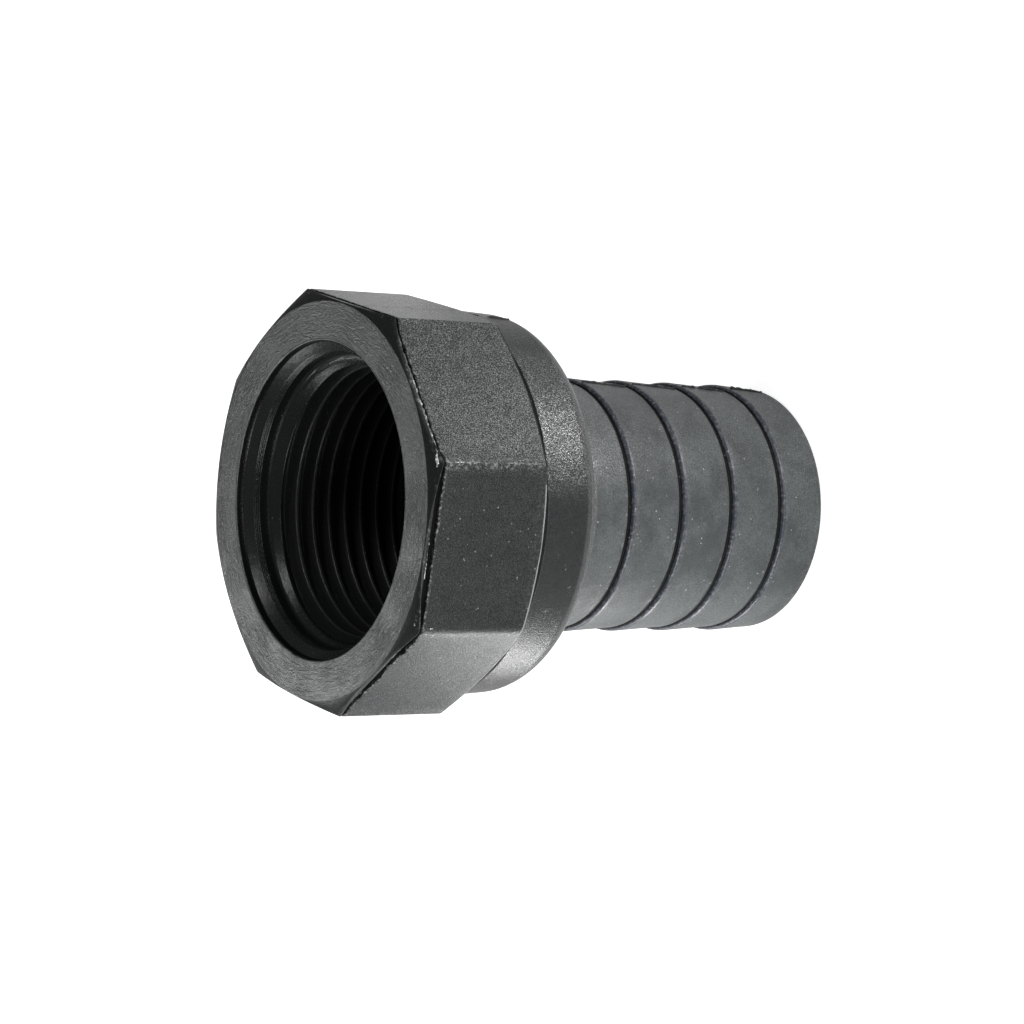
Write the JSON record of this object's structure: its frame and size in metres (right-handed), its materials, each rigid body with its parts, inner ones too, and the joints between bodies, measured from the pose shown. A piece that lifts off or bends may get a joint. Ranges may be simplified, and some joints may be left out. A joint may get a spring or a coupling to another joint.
{
  "type": "female threaded hose tail",
  "caption": "Moulded plastic hose tail with an eight-sided collar round a female pipe thread, a round shoulder and a barbed spigot for a flexible hose.",
  "frame": {"origin": "centre of the tail's free end, which the fitting stands on", "axes": "+Z along the bore from the free end of the tail to the threaded mouth; X and Y square to the collar's flats"},
  "size_m": [0.045, 0.045, 0.062],
  "materials": {
    "black_nylon": "charcoal glass-filled nylon as moulded, matt with a fine grain"
  },
  "bodies": {
    "root": {"hose_tail": "black_nylon"}
  },
  "joints": []
}
